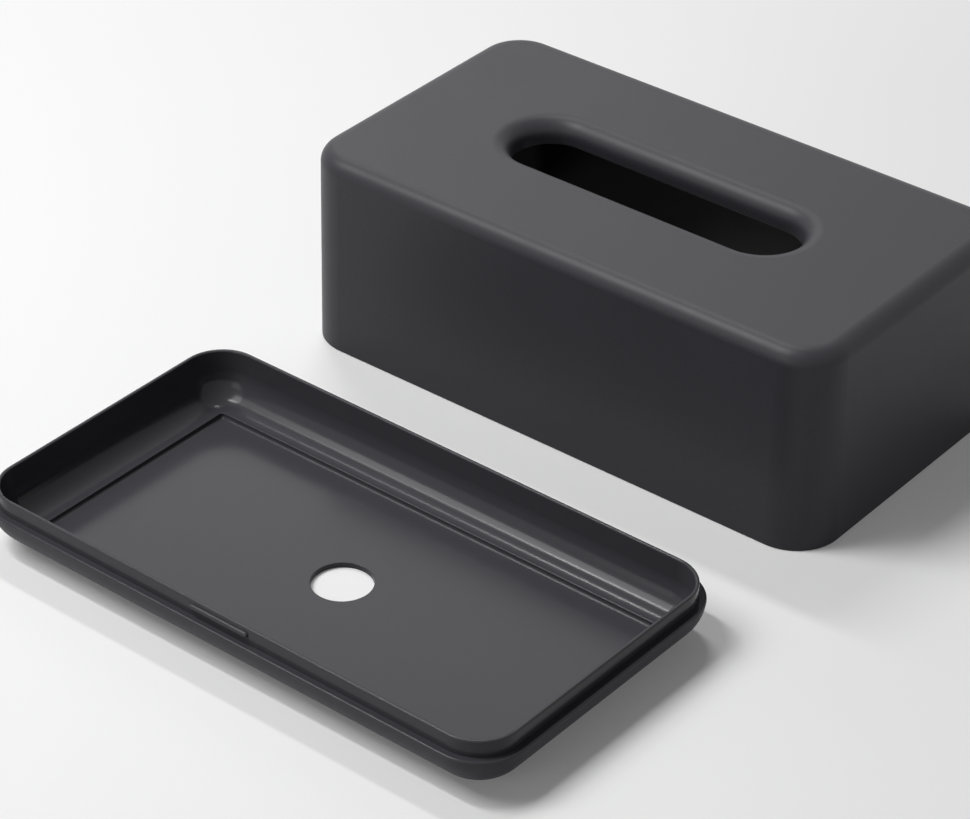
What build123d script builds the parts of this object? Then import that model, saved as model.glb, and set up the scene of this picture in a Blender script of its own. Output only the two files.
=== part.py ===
from build123d import *

import os
from math import cos, radians, sin, tan

# Tissue box in two mouldings: a cover shell, and the base tray that clips into its foot.
# The cover is lifted off and stands behind its tray, on the same table.
# Frame: millimetres, +Z up, X along the long sides, origin on the table in the middle of the pair.

os.makedirs("parts", exist_ok=True)

# Cover: a rounded box that is open at the foot
cover_length = 250.0        # over the foot
cover_width = 136.8         # over the foot
cover_height = 87.1
cover_corner = 19.7         # radius of the upright corners, at the foot
cover_draft = 0.56          # degrees that each side leans in
cover_edge = 6.6            # round along the edge of the top
cover_wall = 2.3            # sides, top and lip
foot_round = 0.4            # outer edge of the foot

# Tissue slot: a long opening whose edge rolls down into the box
slot_length = 134.6         # clear opening
slot_width = 33.0           # clear opening
lip_roll = 7.2              # radius of the rolled edge
lip_depth = 10.4            # from the top face to the lip's end
lip_end_round = 0.8

# Base tray, heights from the table
underside_height = 2.1      # lowest point of the rolled outer wall
underside_round = 17.8      # the outer wall rolls under with this radius
ledge_height = 18.9         # the cover's foot stands here when the box is closed
ledge_proud = 0.33          # the tray stands out past the cover all round
ledge_round = 0.8
rim_height = 6.9            # above the ledge
rim_wall = 1.6
rim_clearance = 0.3         # between the rim and the cover's inner face
rim_round = 0.7
cove_radius = 11.8          # hollow curve from the rim down towards the floor
cove_land = 1.0             # flat strip where the cove ends
floor_thickness = 2.3
floor_step = 2.2            # drop from the cove's end to the floor
floor_corner = 1.3          # the sunk floor is nearly square at its corners
floor_wall = 2.0            # round the outside of that step
step_round = 0.4            # along the top of the step
step_foot_round = 1.2       # hollow curve between the step and the floor
foot_panel_round = 0.8      # edge of the panel that the tray stands on
finger_hole = 23.8          # diameter, to push the tissues up from below
hole_round = 0.3

# Catch: a bar on each long side of the rim, and the groove that it snaps into
bar_length = 28.2
bar_radius = 1.15
bar_height = 3.8            # from the ledge, or the cover's foot, to the middle of the bar
bar_play = 0.15             # round the bar when the box is closed

# How the two pieces stand beside each other
apart = 50.8                # clear space between them
tray_shift = 0.4            # the tray's middle past the cover's, along X
tray_turn = -0.57           # degrees

least_flat = 0.1            # what is left of a wall beside its round, and the smallest round
cut_over = 1.0              # how far a cut runs past what it cuts

# Sizes that follow
rim_reach = cover_width / 2 - cover_wall - rim_clearance    # middle of the tray to the rim's long face
rim_inset = ledge_proud + cover_wall + rim_clearance        # from the tray's outer wall to the rim
cove_inset = rim_inset + rim_wall
floor_inset = cove_inset + cove_radius + cove_land
cove_foot = floor_thickness + floor_step
rim_top = ledge_height + rim_height
tray_length = cover_length + 2 * ledge_proud
tray_width = cover_width + 2 * ledge_proud
tray_corner = cover_corner + ledge_proud


def limited(radius, room):
    """The radius of a round, held back where its wall or its corner has no room for it."""
    return max(min(radius, room - least_flat), least_flat)


def outline(length, width, corner, inset, mode):
    """A rounded rectangle that lies parallel to the given one, inset by a wall."""
    round_left = max(corner - inset, least_flat)
    RectangleRounded(length - 2 * inset, width - 2 * inset, round_left, mode=mode)


def cover_outline(inset, mode=Mode.ADD):
    """The cover's foot, or a line parallel to it."""
    outline(cover_length, cover_width, cover_corner, inset, mode)


def tray_outline(inset, mode=Mode.ADD):
    """The tray's outer wall seen from above, or a line parallel to it."""
    outline(tray_length, tray_width, tray_corner, inset, mode)


def half_extent(along, across, corner, turn):
    """Half the extent of a rounded rectangle along its first axis, when it stands turned."""
    lean = radians(abs(turn))
    return (along / 2 - corner) * cos(lean) + (across / 2 - corner) * sin(lean) + corner


def catch_bars(foot, radius, mode):
    """A round-ended bar along the middle of both long sides, centred on the rim's outer face."""
    straight = bar_length - 2 * bar_radius
    with Locations(foot.offset(bar_height)):
        with GridLocations(0, 2 * rim_reach, 1, 2):
            Cylinder(radius, straight, rotation=(0, 90, 0), mode=mode)
        with GridLocations(straight, 2 * rim_reach, 2, 2):
            Sphere(radius, mode=mode)


# Where the two middles stand, with the cover's at zero, and the middle of the pair
tray_reach_x = half_extent(tray_length, tray_width, tray_corner, tray_turn)
tray_reach_y = half_extent(tray_width, tray_length, tray_corner, tray_turn)
tray_back = cover_width / 2 + apart + tray_reach_y
left_end = min(-cover_length / 2, tray_shift - tray_reach_x)
right_end = max(cover_length / 2, tray_shift + tray_reach_x)
middle_x = (left_end + right_end) / 2
middle_y = (cover_width / 2 - tray_back - tray_reach_y) / 2
cover_place = Plane(origin=(-middle_x, -middle_y, 0))
tray_place = Plane(
    origin=(tray_shift - middle_x, -tray_back - middle_y, 0),
    x_dir=(cos(radians(tray_turn)), sin(radians(tray_turn)), 0),
    z_dir=(0, 0, 1),
)

# Cover
ceiling_height = cover_height - cover_wall
top_corner = cover_corner - cover_height * tan(radians(cover_draft))
with BuildPart() as cover:
    with BuildSketch(cover_place):
        cover_outline(0)
    extrude(amount=cover_height, taper=cover_draft)
    fillet(cover.faces().sort_by(Axis.Z)[-1].edges(), limited(cover_edge, top_corner))
    fillet(cover.faces().sort_by(Axis.Z)[0].edges(), limited(foot_round, cover_wall))

    # The hollow leaves the same wall at the sides, at the top and round the edge between them
    with BuildSketch(cover_place):
        cover_outline(cover_wall)
    extrude(amount=ceiling_height, taper=cover_draft, mode=Mode.SUBTRACT)
    ceiling = cover.faces().filter_by(Axis.Z).group_by(Axis.Z)[-2][0]
    fillet(ceiling.edges(), limited(cover_edge - cover_wall, top_corner - cover_wall))

    # The lip's wall hangs from the ceiling, with a curve between them
    with BuildSketch(cover_place.offset(cover_height - lip_depth)):
        SlotOverall(slot_length + 2 * cover_wall, slot_width + 2 * cover_wall)
    extrude(amount=lip_depth - cover_wall)
    ceiling = cover.faces().filter_by(Axis.Z).group_by(Axis.Z)[-2][0]
    fillet(ceiling.inner_wires()[0].edges(), limited(lip_roll - cover_wall, lip_depth - cover_wall))

    # The opening, with the roll that leads a tissue over its edge
    with BuildSketch(cover_place.offset(cover_height)):
        SlotOverall(slot_length, slot_width)
    extrude(amount=-lip_depth, mode=Mode.SUBTRACT)
    top = cover.faces().sort_by(Axis.Z)[-1]
    fillet(top.inner_wires()[0].edges(), limited(lip_roll, lip_depth - lip_end_round))
    lip_end = cover.faces().filter_by(Axis.Z).group_by(Axis.Z)[1][0]
    fillet(lip_end.edges(), limited(lip_end_round, cover_wall / 2))

    catch_bars(cover_place, bar_radius + bar_play, Mode.SUBTRACT)

cover.part.label = "cover"
export_step(cover.part, "parts/cover.step")

# Inside of the base tray: coved walls, and the floor sunk below them
with BuildPart() as tray_hollow:
    with BuildSketch(tray_place.offset(cove_foot)):
        tray_outline(cove_inset)
    extrude(amount=rim_top + cut_over - cove_foot)
    fillet(tray_hollow.faces().sort_by(Axis.Z)[0].edges(), limited(cove_radius, tray_corner - cove_inset))
    with BuildSketch(tray_place.offset(floor_thickness)):
        RectangleRounded(tray_length - 2 * floor_inset, tray_width - 2 * floor_inset, floor_corner)
    extrude(amount=floor_step)
    step = tray_hollow.faces().filter_by(Axis.Z).group_by(Axis.Z)[1][0]
    fillet(step.inner_wires()[0].edges(), limited(step_round, min(cove_land, floor_step) / 2))
    room = min(floor_corner, floor_step - step_round)
    fillet(tray_hollow.faces().sort_by(Axis.Z)[0].edges(), limited(step_foot_round, room))

# Base tray
with BuildPart() as base_tray:
    # Outer wall, rolled under
    with BuildSketch(tray_place.offset(underside_height)):
        tray_outline(0)
    extrude(amount=rim_top - underside_height)
    room = min(tray_corner, rim_top - underside_height)
    fillet(base_tray.faces().sort_by(Axis.Z)[0].edges(), limited(underside_round, room))

    # Panel that it stands on, the outside of the sunk floor
    with BuildSketch(tray_place):
        tray_outline(floor_inset - floor_wall)
    extrude(amount=cove_foot)
    fillet(base_tray.faces().sort_by(Axis.Z)[0].edges(), limited(foot_panel_round, underside_height))

    # The ledge is cut in round the rim
    with BuildSketch(tray_place.offset(ledge_height)):
        tray_outline(-cut_over)
        tray_outline(rim_inset, Mode.SUBTRACT)
    extrude(amount=rim_height + cut_over, mode=Mode.SUBTRACT)
    ledge = base_tray.faces().filter_by(Axis.Z).group_by(Axis.Z)[-2][0]
    fillet(ledge.outer_wire().edges(), limited(ledge_round, rim_inset))

    add(tray_hollow.part, mode=Mode.SUBTRACT)
    fillet(base_tray.faces().sort_by(Axis.Z)[-1].edges(), limited(rim_round, rim_wall / 2))

    with Locations(tray_place):
        Hole(finger_hole / 2)
    underside, floor = base_tray.faces().filter_by(Axis.Z).sort_by(Axis.Z)[0:2]
    hole_edges = underside.inner_wires()[0].edges() + floor.inner_wires()[0].edges()
    fillet(hole_edges, limited(hole_round, floor_thickness / 2))

    catch_bars(tray_place.offset(ledge_height), bar_radius, Mode.ADD)

base_tray.part.label = "base_tray"
export_step(base_tray.part, "parts/base_tray.step")
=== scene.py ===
# %% [markdown]
# # A charcoal tissue box with its cover off
#
# The object is two plastic mouldings. The **cover** is a rounded box, open at the foot, with a long slot
# in its top. The **base tray** is the shallow dish that clips into that foot. The cover stands behind the
# tray, as if someone had just lifted it off to put in a new pack of tissues.
#
# Both mouldings come from the frame at their real size, and this script never moves or reshapes them. It
# gives them their finishes, stands them on a pale table, lights them softly and sets up the camera. A part
# that is used again under other lamps keeps its finishes and nothing else from here, so they are built
# with the most care, in the second half.

from math import cos, radians, sin

import bmesh
import bpy
from mathutils import Matrix, Vector


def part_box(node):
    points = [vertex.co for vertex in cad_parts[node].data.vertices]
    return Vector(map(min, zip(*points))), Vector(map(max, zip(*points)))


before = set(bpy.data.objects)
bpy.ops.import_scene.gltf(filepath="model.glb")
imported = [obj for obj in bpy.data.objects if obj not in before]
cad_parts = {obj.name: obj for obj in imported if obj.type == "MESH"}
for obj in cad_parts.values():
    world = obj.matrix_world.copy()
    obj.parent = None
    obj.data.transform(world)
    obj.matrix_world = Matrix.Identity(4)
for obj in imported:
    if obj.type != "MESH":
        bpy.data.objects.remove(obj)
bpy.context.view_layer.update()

# %% [markdown]
# ## The pieces by name
#
# Blender works in metres here, while a maker thinks of this box in millimetres, so one factor turns the
# plain sizes below into metres. The middle of the cover is read from its box. The camera aims at a point
# that is placed from it, and the lamps aim there too, so they would follow a change of the model.

# %% The pieces
MM = 0.001                      # metres
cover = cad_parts["cover"]
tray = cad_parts["base_tray"]
cover_low, cover_high = (Vector(corner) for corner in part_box("cover"))
tray_low, tray_high = (Vector(corner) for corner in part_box("base_tray"))
cover_middle = (cover_low + cover_high) / 2
print("cover, mm:", [round(v / MM, 1) for v in cover_high - cover_low])
print("tray, mm:", [round(v / MM, 1) for v in tray_high - tray_low])

# %% [markdown]
# ## The camera
#
# A product photograph of this kind is taken from a distance with a long lens, which keeps upright edges
# nearly parallel. The camera is placed by the point that it aims at, the two angles that it looks from
# and its distance. Then it is turned a little about its own line of sight, as it was held.
#
# A Track To constraint would aim it too, but it could not hold that last small turn. Building the
# camera's three axes by hand shows what each angle means.

# %% Where the camera stands
azimuth, elevation, roll = radians(38.537), radians(33.818), radians(0.516)
distance = 1417.0 * MM
LEFT_OF_MIDDLE, BEFORE_MIDDLE = 32.68 * MM, 63.98 * MM      # from the cover's middle to the aim
aim = Vector((cover_middle.x - LEFT_OF_MIDDLE, cover_middle.y - BEFORE_MIDDLE, 0.0))

towards_camera = Vector((sin(azimuth) * cos(elevation), -cos(azimuth) * cos(elevation), sin(elevation)))
level_right = Vector((cos(azimuth), sin(azimuth), 0.0))
level_up = towards_camera.cross(level_right)
right = cos(roll) * level_right + sin(roll) * level_up
up = cos(roll) * level_up - sin(roll) * level_right
print("camera at, mm:", [round(v / MM) for v in aim + distance * towards_camera])

# %% Make the camera
PICTURE_WIDTH = 970             # pixels
FOCAL_PIXELS = 3572.7           # focal length in those pixels
SENSOR = 36.0                   # millimetres across

camera_data = bpy.data.cameras.new("camera")
camera_data.sensor_width = SENSOR
camera_data.lens = FOCAL_PIXELS * SENSOR / PICTURE_WIDTH
camera = bpy.data.objects.new("camera", camera_data)
facing = Matrix((right, up, towards_camera)).transposed().to_4x4()
camera.matrix_world = Matrix.Translation(aim + distance * towards_camera) @ facing
bpy.context.scene.collection.objects.link(camera)
bpy.context.scene.camera = camera
print("lens, mm:", round(camera_data.lens, 1))

# %% [markdown]
# ## Soft lamps
#
# Dark plastic shows its lamps more than its own colour. Wide softboxes give the even grey of the top and
# the floor, and let the sides fall away. Two narrow strips, high on the left, draw the pair of fine bright
# lines along the hollow curve at the back of the tray. Each strip has a weaker length at its far end, so
# that its line fades out towards the corner.
#
# A sun or a point lamp would leave hard shadows, so every lamp here is a rectangle, and its size sets how
# soft its shadow and its highlight are.

# %% A lamp aimed at the object
def soft_lamp(name, place, size, power):
    """A rectangular lamp at this place in metres, its long side along X, aimed where the camera aims."""
    data = bpy.data.lights.new(name, "AREA")
    data.shape = "RECTANGLE"
    data.size, data.size_y = size
    data.energy = power
    back = (Vector(place) - aim).normalized()
    across = (Vector((1.0, 0.0, 0.0)) - back * back.x).normalized()
    facing = Matrix((across, back.cross(across), back)).transposed().to_4x4()
    lamp = bpy.data.objects.new(name, data)
    lamp.matrix_world = Matrix.Translation(place) @ facing
    bpy.context.scene.collection.objects.link(lamp)


# %% The lamps
LAMPS = (                       # name, place and size in metres, power in watts
    ("strip_front", (-0.48, -0.385, 1.3), (0.45, 0.08), 5.0),
    ("strip_back", (-0.48, 0.44, 1.3), (0.45, 0.08), 4.0),
    ("strip_front_end", (-0.85, -0.385, 1.3), (0.29, 0.08), 0.7),
    ("strip_back_end", (-0.85, 0.44, 1.3), (0.29, 0.08), 0.8),
    ("high_front", (-0.75, -0.75, 1.4), (0.7, 0.7), 12.0),
    ("low_front", (-0.25, -1.4, 0.45), (0.8, 0.5), 2.2),
    ("back_left", (-0.95, 0.95, 0.9), (0.8, 0.5), 1.6),
)
for name, place, size, power in LAMPS:
    soft_lamp(name, place, size, power)
print("lamps:", len(LAMPS), "watts:", round(sum(lamp[-1] for lamp in LAMPS), 1))

# %% [markdown]
# ## Numbers and shaders in nodes
#
# A material is a tree of small nodes, and most of them are plain arithmetic. A few helpers keep it
# readable: one sets or links a row of sockets, and each of the others makes one node and gives back its
# output. Built by hand in the editor, the same tree would be a wide tangle that nobody could compare.

# %% Arithmetic with nodes
def fill(tree, sockets, values):
    """Sets each socket to a value, or links it to another node's output."""
    for socket, value in zip(sockets, values):
        if isinstance(value, bpy.types.NodeSocket):
            tree.links.new(value, socket)
        else:
            socket.default_value = value


def arithmetic(tree, operation, *values):
    """A Math node's output."""
    node = tree.nodes.new("ShaderNodeMath")
    node.operation = operation
    fill(tree, node.inputs, values)
    return node.outputs[0]


def vector_arithmetic(tree, operation, *values):
    """A Vector Math node's output, a number for LENGTH and a vector for the rest."""
    node = tree.nodes.new("ShaderNodeVectorMath")
    node.operation = operation
    fill(tree, node.inputs, values)
    return node.outputs["Value" if operation == "LENGTH" else "Vector"]


# %% Plain shaders
def plain(tree, kind, socket, value):
    """A shader node of this kind with this one socket set."""
    node = tree.nodes.new(kind)
    node.inputs[socket].default_value = value
    return node.outputs[0]


def grey(level):
    """An even grey as a colour."""
    return level, level, level, 1.0


def mixed(tree, share, first, second):
    """The first shader where the share is nought, and the second where it is one."""
    node = tree.nodes.new("ShaderNodeMixShader")
    fill(tree, node.inputs, (share, first, second))
    return node.outputs[0]


# %% [markdown]
# ## White surroundings
#
# The object stands before plain white. Turning up the light until the background burns out would wash
# out the dark plastic as well. Instead the world asks what kind of ray has met it. A ray from the camera,
# or one that gloss or glass sent on, finds white. Any other ray finds only the weak light that is left
# in the shadows of a studio.

# %% Tell the rays apart
def seen_rays(tree):
    """One for a ray from the camera, or from gloss or glass, and nought for any other."""
    path = tree.nodes.new("ShaderNodeLightPath").outputs
    reflected = arithmetic(tree, "MAXIMUM", path["Is Glossy Ray"], path["Is Transmission Ray"])
    return arithmetic(tree, "MAXIMUM", path["Is Camera Ray"], reflected)


# %% The world
ROOM_LIGHT, PLAIN_WHITE = 0.1, 1.0
world = bpy.data.worlds.new("studio")
bpy.context.scene.world = world
world.use_nodes = True
tree = world.node_tree
tree.nodes.clear()
room = plain(tree, "ShaderNodeBackground", "Color", grey(ROOM_LIGHT))
white = plain(tree, "ShaderNodeBackground", "Color", grey(PLAIN_WHITE))
world_end = tree.nodes.new("ShaderNodeOutputWorld")
tree.links.new(mixed(tree, seen_rays(tree), room, white), world_end.inputs["Surface"])
print("room light:", ROOM_LIGHT)

# %% [markdown]
# ## The table
#
# The table is one wide flat sheet. It lies just under the object, so that two faces never fight over the
# same height. A box would do as well, but only its top would ever be seen.

# %% The table top
TABLE_HALF = 4.0                # metres
BELOW = 0.1 * MM
table_mesh = bpy.data.meshes.new("table")
sheet = bmesh.new()
bmesh.ops.create_grid(sheet, x_segments=1, y_segments=1, size=TABLE_HALF)
bmesh.ops.translate(sheet, verts=sheet.verts, vec=(0.0, 0.0, -BELOW))
sheet.to_mesh(table_mesh)
sheet.free()
table = bpy.data.objects.new("table", table_mesh)
bpy.context.scene.collection.objects.link(table)
print("table faces:", len(table_mesh.polygons))

# %% [markdown]
# ### What the table shows and what it passes on
#
# The table's material asks the same question about rays. Seen directly it is almost white, with the
# object's soft shadow on it, and a weak glow of its own keeps that shadow light. What it passes on to the
# plastic by plain bounces is the light of a grey table, or the sides would be lit too much from below.

# %% The table's two surfaces
TABLE_GREY, TABLE_WHITE, TABLE_GLOW = 0.5, 0.85, 0.1
table_finish = bpy.data.materials.new("pale_table")
table_finish.use_nodes = True
tree = table_finish.node_tree
tree.nodes.clear()
passed_on = plain(tree, "ShaderNodeBsdfDiffuse", "Color", grey(TABLE_GREY))
shown = plain(tree, "ShaderNodeBsdfDiffuse", "Color", grey(TABLE_WHITE))
glow = plain(tree, "ShaderNodeEmission", "Strength", TABLE_GLOW)
lit = tree.nodes.new("ShaderNodeAddShader")
fill(tree, lit.inputs, (shown, glow))

# %% [markdown]
# ### White into the distance
#
# The lamps stand close round the object, so the far end of a real table would sink into grey, with a
# hard line where it ends. A photographer hides both with a sweep of white paper. Here the distance from
# the object does the same: the lit surface changes slowly into plain white between these two radii,
# which lie outside the shadow of the standing object.

# %% The sweep of paper
SWEEP_START, SWEEP_END = 0.35, 1.1              # metres from the object
paper = plain(tree, "ShaderNodeEmission", "Strength", PLAIN_WHITE)
away = vector_arithmetic(tree, "LENGTH", tree.nodes.new("ShaderNodeTexCoord").outputs["Object"])
rise = tree.nodes.new("ShaderNodeMapRange")
rise.interpolation_type = "SMOOTHSTEP"
rise.inputs["From Min"].default_value = SWEEP_START
rise.inputs["From Max"].default_value = SWEEP_END
tree.links.new(away, rise.inputs["Value"])
swept = mixed(tree, rise.outputs["Result"], lit.outputs[0], paper)

# %% Finish the table
table_end = tree.nodes.new("ShaderNodeOutputMaterial")
tree.links.new(mixed(tree, seen_rays(tree), passed_on, swept), table_end.inputs["Surface"])
table_mesh.materials.append(table_finish)
print("table material nodes:", len(tree.nodes))

# %% [markdown]
# ## What moulded plastic shows
#
# Both pieces are the same charcoal plastic from two moulds. Up close a moulding shows two things. The
# first is the **grain** of the mould's steel, a tight even roughness of a few tenths of a millimetre. The
# second is an **uneven finish**: where the plastic met the steel a little hotter or colder, patches some
# centimetres wide are a shade lighter or glossier.
#
# Both effects serve both materials, so each is a node group with named sockets, built once and given its
# own values in each material. A picture of the texture would need a flat layout of the curved mouldings.
# Noise in space follows the object's own coordinates instead, and it has no seams.

# %% An empty effect
def effect(name, inputs, outputs):
    """A node group with these sockets, and its two ends."""
    group = bpy.data.node_groups.new(name, "ShaderNodeTree")
    for socket, kind, value in inputs:
        made = group.interface.new_socket(name=socket, in_out="INPUT", socket_type=kind)
        if value is not None:
            made.default_value = value
    for socket, kind in outputs:
        group.interface.new_socket(name=socket, in_out="OUTPUT", socket_type=kind)
    return group, group.nodes.new("NodeGroupInput").outputs, group.nodes.new("NodeGroupOutput").inputs


# %% [markdown]
# ### Noise in space
#
# Both effects start from noise. Its scale says how many features there are to the millimetre, because the
# position that comes in is in millimetres.

# %% Noise
def noise(tree, position, scale, detail):
    """Noise in space, with this many features to the millimetre."""
    node = tree.nodes.new("ShaderNodeTexNoise")
    node.inputs["Detail"].default_value = detail
    fill(tree, (node.inputs["Vector"], node.inputs["Scale"]), (position, scale))
    return node.outputs["Fac"]


# %% [markdown]
# ### The grain
#
# Real mould grain is fine pits with flatter land between them. One noise gives the pits, and a minimum
# with a soft corner cuts its hills down to land. A second noise, three times as coarse, makes some
# patches deeper than others, so the surface never looks like a repeated stamp. The land lies at a height
# of about a half, and the material says how deep a height of 1 would be.

# %% The grain of the mould
LAND, SOFT_CORNER = 0.55, 0.1   # the noise is cut off at this height, with this much rounding
COARSER = 3.0
grain, start, end = effect(
    "mould_grain",
    (("Position", "NodeSocketVector", None), ("Features per mm", "NodeSocketFloat", 2.5)),
    (("Height", "NodeSocketFloat"), ("Pits", "NodeSocketFloat")),
)
fine = noise(grain, start["Position"], start["Features per mm"], detail=3.0)
fewer = arithmetic(grain, "DIVIDE", start["Features per mm"], COARSER)
coarse = noise(grain, start["Position"], fewer, detail=1.0)
cut = arithmetic(grain, "SMOOTH_MIN", fine, LAND, SOFT_CORNER)
grain.links.new(arithmetic(grain, "MULTIPLY", cut, coarse), end["Height"])
# How deep a point lies below the land; the finish paints that much shade into the colour of the pits.
grain.links.new(arithmetic(grain, "SUBTRACT", LAND, cut), end["Pits"])
print("grain group nodes:", len(grain.nodes))

# %% [markdown]
# ### The uneven finish
#
# Two soft noises, one some centimetres wide and one near half a centimetre, are added into a single
# patchiness. It makes the colour lighter or darker by a few hundredths and moves the roughness with it,
# because a spot that is a shade lighter on real matt plastic is also a shade duller. The pits of the
# grain get painted shade: their colour is made darker, as if shade fell into them.

# %% The uneven finish
WIDE_PATCHES, SMALL_PATCHES = 0.022, 0.19       # features to the millimetre
uneven, start, end = effect(
    "uneven_finish",
    (
        ("Position", "NodeSocketVector", None),
        ("Colour", "NodeSocketColor", (0.04, 0.04, 0.04, 1.0)),
        ("Colour change", "NodeSocketFloat", 0.05),
        ("Roughness", "NodeSocketFloat", 0.5),
        ("Roughness change", "NodeSocketFloat", 0.05),
        ("Pits", "NodeSocketFloat", 0.0),
    ),
    (("Colour", "NodeSocketColor"), ("Roughness", "NodeSocketFloat")),
)
wide = noise(uneven, start["Position"], WIDE_PATCHES, detail=2.0)
small = noise(uneven, start["Position"], SMALL_PATCHES, detail=2.0)
patchy = arithmetic(uneven, "SUBTRACT", arithmetic(uneven, "ADD", wide, small), 1.0)
lighter = arithmetic(uneven, "MULTIPLY_ADD", patchy, start["Colour change"], 1.0)
# Painted shade: the colour is darkened in the pits of the grain.
shade = arithmetic(uneven, "SUBTRACT", lighter, start["Pits"])
tint = uneven.nodes.new("ShaderNodeVectorMath")
tint.operation = "SCALE"
fill(uneven, (tint.inputs[0], tint.inputs["Scale"]), (start["Colour"], shade))
uneven.links.new(tint.outputs[0], end["Colour"])
duller = arithmetic(uneven, "MULTIPLY_ADD", patchy, start["Roughness change"], start["Roughness"])
uneven.links.new(duller, end["Roughness"])
print("uneven finish group nodes:", len(uneven.nodes))

# %% [markdown]
# ## Two sides of one wall
#
# A moulding has two skins. The side that is seen in the room gets the matt grain, and the side that lay
# against the core of the mould comes out smoother and glossier. The finish has to know which skin a point
# lies on, though both belong to one mesh.
#
# Painting the faces one by one would be lost when the model changes. The shape itself can tell: seen from
# above, every outline here is a rounded rectangle, and the distance from it is a short sum. This group
# works that distance out, and each piece compares it with the middle of its own wall.

# %% Distance from a rounded rectangle
plan, start, end = effect(
    "plan_distance",
    (
        ("Position", "NodeSocketVector", None),
        ("Half size", "NodeSocketVector", (100.0, 50.0, 0.0)),
        ("Corner", "NodeSocketFloat", 20.0),
    ),
    (("Distance", "NodeSocketFloat"), ("Height", "NodeSocketFloat")),
)
parts = plan.nodes.new("ShaderNodeSeparateXYZ")
plan.links.new(start["Position"], parts.inputs[0])
corner = plan.nodes.new("ShaderNodeCombineXYZ")
fill(plan, corner.inputs, (start["Corner"], start["Corner"], 0.0))
flat = plan.nodes.new("ShaderNodeCombineXYZ")
fill(plan, flat.inputs, (parts.outputs["X"], parts.outputs["Y"], 0.0))
quarter = vector_arithmetic(plan, "ABSOLUTE", flat.outputs[0])
straight = vector_arithmetic(plan, "SUBTRACT", start["Half size"], corner.outputs[0])
past = vector_arithmetic(plan, "SUBTRACT", quarter, straight)
outward = vector_arithmetic(plan, "LENGTH", vector_arithmetic(plan, "MAXIMUM", past, (0.0, 0.0, 0.0)))
apart = plan.nodes.new("ShaderNodeSeparateXYZ")
plan.links.new(past, apart.inputs[0])
inward = arithmetic(
    plan, "MINIMUM", arithmetic(plan, "MAXIMUM", apart.outputs["X"], apart.outputs["Y"]), 0.0
)
distance_out = arithmetic(plan, "SUBTRACT", arithmetic(plan, "ADD", outward, inward), start["Corner"])
plan.links.new(distance_out, end["Distance"])
plan.links.new(parts.outputs["Z"], end["Height"])
print("plan distance group nodes:", len(plan.nodes))

# %% [markdown]
# ### From a distance to a mask
#
# A wall that bends round an edge is a pair of arcs about one centre. So the distance from that centre,
# measured across and up together, tells the skins apart all the way: along the wall, round the edge and
# over the top. The change from one finish to the other runs over a few tenths of a millimetre, inside
# the thickness of the wall, where nobody sees it.

# %% Use a group in a material
def in_group(tree, group, **values):
    """This group placed in a material; an underscore in a name stands for a space."""
    node = tree.nodes.new("ShaderNodeGroup")
    node.node_tree = group
    named = {socket.name.replace(" ", "_"): socket for socket in node.inputs}
    fill(tree, [named[name] for name in values], values.values())
    return node.outputs


# %% Which skin a point lies on
SOFT = 0.3                      # millimetres on either side of the limit


def beyond(tree, value, limit):
    """Nought below the limit and one above it, with a soft change between."""
    step = tree.nodes.new("ShaderNodeMapRange")
    step.interpolation_type = "SMOOTHSTEP"
    step.inputs["From Min"].default_value = limit - SOFT
    step.inputs["From Max"].default_value = limit + SOFT
    tree.links.new(value, step.inputs["Value"])
    return step.outputs["Result"]


def from_arc(tree, across, up):
    """The distance from an arc's centre; a negative side counts as none."""
    pair = tree.nodes.new("ShaderNodeCombineXYZ")
    sides = [arithmetic(tree, "MAXIMUM", side, 0.0) for side in (across, up)]
    fill(tree, pair.inputs, (*sides, 0.0))
    return vector_arithmetic(tree, "LENGTH", pair.outputs[0])


def place_of(tree, middle, turn):
    """The position in millimetres from a piece's own middle, along its own sides."""
    mapping = tree.nodes.new("ShaderNodeMapping")
    mapping.vector_type = "TEXTURE"
    mapping.inputs["Location"].default_value = (middle.x, middle.y, 0.0)
    mapping.inputs["Rotation"].default_value = (0.0, 0.0, radians(turn))
    mapping.inputs["Scale"].default_value = (MM, MM, MM)
    tree.links.new(tree.nodes.new("ShaderNodeTexCoord").outputs["Object"], mapping.inputs["Vector"])
    return mapping.outputs["Vector"]


# %% [markdown]
# ## The plastic itself
#
# The material is a Principled shader. What is the same all over, such as the specular level, is set on
# its own sockets, and only what changes over the surface comes in by a link. The specular level is low,
# because the surface meets bright white on every side, and a full one would lay a veil on the charcoal.
#
# The grain goes through a Bump node. Its distance is the depth in metres that a height of 1 stands for, so
# the grain stays right at any zoom, and its height is scaled down on the smooth skin.

# %% A charcoal plastic with a matt and a smooth skin
GRAIN_DEPTH, GRAIN_PER_MM = 0.02 * MM, 2.4
COLOUR_CHANGE, ROUGHNESS_CHANGE = 0.08, 0.06


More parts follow.
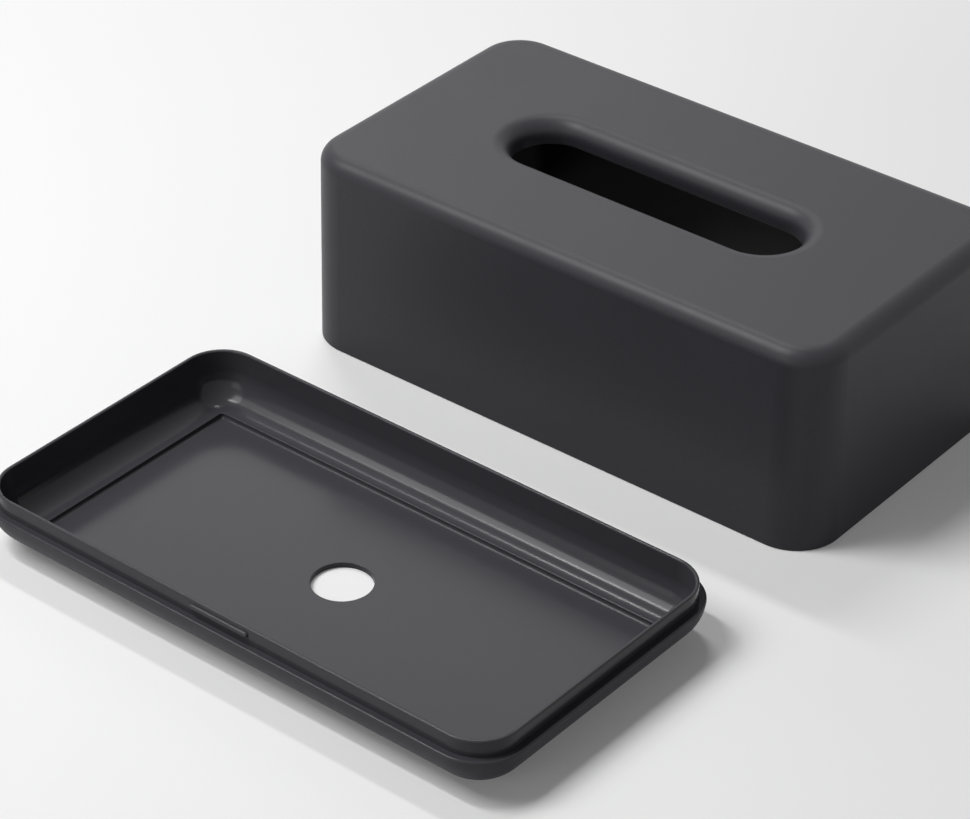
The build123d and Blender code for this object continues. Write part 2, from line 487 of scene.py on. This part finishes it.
def charcoal(name, middle, turn, skin, colour, matt, smooth, specular):
    """Charcoal moulded plastic; matt and smooth each give a roughness and the grain's share."""
    material = bpy.data.materials.new(name)
    material.use_nodes = True
    tree = material.node_tree
    shader = tree.nodes["Principled BSDF"]
    shader.inputs["Specular IOR Level"].default_value = specular
    position = place_of(tree, middle, turn)
    seen_side = skin(tree, position)

    def by_skin(smooth_value, matt_value):
        return arithmetic(tree, "MULTIPLY_ADD", seen_side, matt_value - smooth_value, smooth_value)

    pits = in_group(tree, grain, Position=position, Features_per_mm=GRAIN_PER_MM)
    share = by_skin(smooth[1], matt[1])
    # Painted shade in the pits of the grain, weaker on the smooth skin.
    darker = arithmetic(tree, "MULTIPLY", pits["Pits"], share)
    finish = in_group(
        tree, uneven, Position=position, Colour=(*colour, 1.0), Colour_change=COLOUR_CHANGE,
        Roughness=by_skin(smooth[0], matt[0]), Roughness_change=ROUGHNESS_CHANGE, Pits=darker,
    )
    tree.links.new(finish["Colour"], shader.inputs["Base Color"])
    tree.links.new(finish["Roughness"], shader.inputs["Roughness"])
    bump = tree.nodes.new("ShaderNodeBump")
    bump.inputs["Distance"].default_value = GRAIN_DEPTH
    tree.links.new(arithmetic(tree, "MULTIPLY", pits["Height"], share), bump.inputs["Height"])
    tree.links.new(bump.outputs["Normal"], shader.inputs["Normal"])
    print(name, "nodes:", len(tree.nodes))
    return material


# %% [markdown]
# ## The cover
#
# The cover's mould was blasted to a fine matt grain, so it throws only broad, soft highlights: a lighter
# line along the rolled top edge and at the upright corners, and no mirror image anywhere. The matt skin
# goes over the top edge and down the roll of the slot, as far as a finger can feel from above. The
# hollow inside is smoother.

# %% The cover's matt skin, in millimetres
HALF_LENGTH, HALF_WIDTH, _ = (cover_high - cover_low) / 2 / MM
TOP = cover_high.z / MM
CORNER, EDGE, WALL = 19.7, 6.6, 2.3             # upright corners at the foot, edge of the top, wall
LEAN = 0.00977                  # the sides lean in by this much for each millimetre of height
SLOT_HALF, SLOT_CORNER, ROLL = (67.3, 16.5, 0.0), 16.5, 7.2


def cover_skin(tree, position):
    """One on the matt skin of the cover, nought in its hollow."""
    half_size = (HALF_LENGTH, HALF_WIDTH, 0.0)
    side = in_group(tree, plan, Position=position, Half_size=half_size, Corner=CORNER)
    leaning = arithmetic(tree, "MULTIPLY_ADD", side["Height"], LEAN, side["Distance"])
    across = arithmetic(tree, "ADD", leaning, EDGE)
    up = arithmetic(tree, "SUBTRACT", side["Height"], TOP - EDGE)
    outer = beyond(tree, from_arc(tree, across, up), EDGE - WALL / 2)

    slot = in_group(tree, plan, Position=position, Half_size=SLOT_HALF, Corner=SLOT_CORNER)
    across = arithmetic(tree, "SUBTRACT", ROLL, slot["Distance"])
    up = arithmetic(tree, "SUBTRACT", slot["Height"], TOP - ROLL)
    lip = beyond(tree, from_arc(tree, across, up), ROLL - WALL / 2)
    return arithmetic(tree, "MAXIMUM", outer, lip)


# %% Finish the cover
COVER_COLOUR = (0.0315, 0.0305, 0.0375)
cover_plastic = charcoal(
    "matt_charcoal", cover_middle, 0.0, cover_skin, COVER_COLOUR,
    matt=(0.45, 1.0), smooth=(0.3, 0.2), specular=0.3,
)
cover.material_slots[0].material = cover_plastic

# %% [markdown]
# ## The base tray
#
# Only the tray's rolled outer wall and its underside are seen when the box is closed, so they carry the
# cover's matt grain. The inside, from the rim down the coved wall to the sunk floor, is smooth. It
# mirrors the strip lamps as two fine lines along the cove.

# %% The tray's matt skin, in millimetres
PROUD = 0.33                    # the tray stands out past the cover all round
TRAY_TURN = -0.57               # degrees, it stands slightly askew
LEDGE, LEDGE_ROUND = 18.9, 0.8  # the cover's foot stands here
CENTRE_IN, CENTRE_UP, BETWEEN = 17.0, 18.0, 14.4    # an arc that runs between the wall's two skins
ARC_FROM = 1.2                  # the arc counts this far out from its centre, so the floor stays smooth
UNDERSIDE = 1.2                 # every face below this height is the underside


def tray_skin(tree, position):
    """One on the tray's outer wall and underside, nought inside it."""
    half_size = (HALF_LENGTH + PROUD, HALF_WIDTH + PROUD, 0.0)
    side = in_group(tree, plan, Position=position, Half_size=half_size, Corner=CORNER + PROUD)
    across = arithmetic(tree, "ADD", side["Distance"], CENTRE_IN)
    up = arithmetic(tree, "SUBTRACT", CENTRE_UP, side["Height"])
    rolled = beyond(tree, from_arc(tree, across, up), BETWEEN)
    wall = arithmetic(tree, "MULTIPLY", rolled, beyond(tree, across, ARC_FROM))
    under = arithmetic(tree, "SUBTRACT", 1.0, beyond(tree, side["Height"], UNDERSIDE))
    below_ledge = arithmetic(tree, "SUBTRACT", 1.0, beyond(tree, side["Height"], LEDGE - LEDGE_ROUND))
    return arithmetic(tree, "MULTIPLY", arithmetic(tree, "MAXIMUM", wall, under), below_ledge)


# %% Finish the tray
TRAY_COLOUR = (0.0545, 0.053, 0.061)
tray_plastic = charcoal(
    "satin_charcoal", (tray_low + tray_high) / 2, TRAY_TURN, tray_skin, TRAY_COLOUR,
    matt=(0.5, 1.0), smooth=(0.17, 0.04), specular=0.15,
)
tray.material_slots[0].material = tray_plastic

# %% [markdown]
# ## Colour
#
# The Standard view shows each colour as it is written.

# %% Show each colour as written
bpy.context.scene.view_settings.view_transform = "Standard"
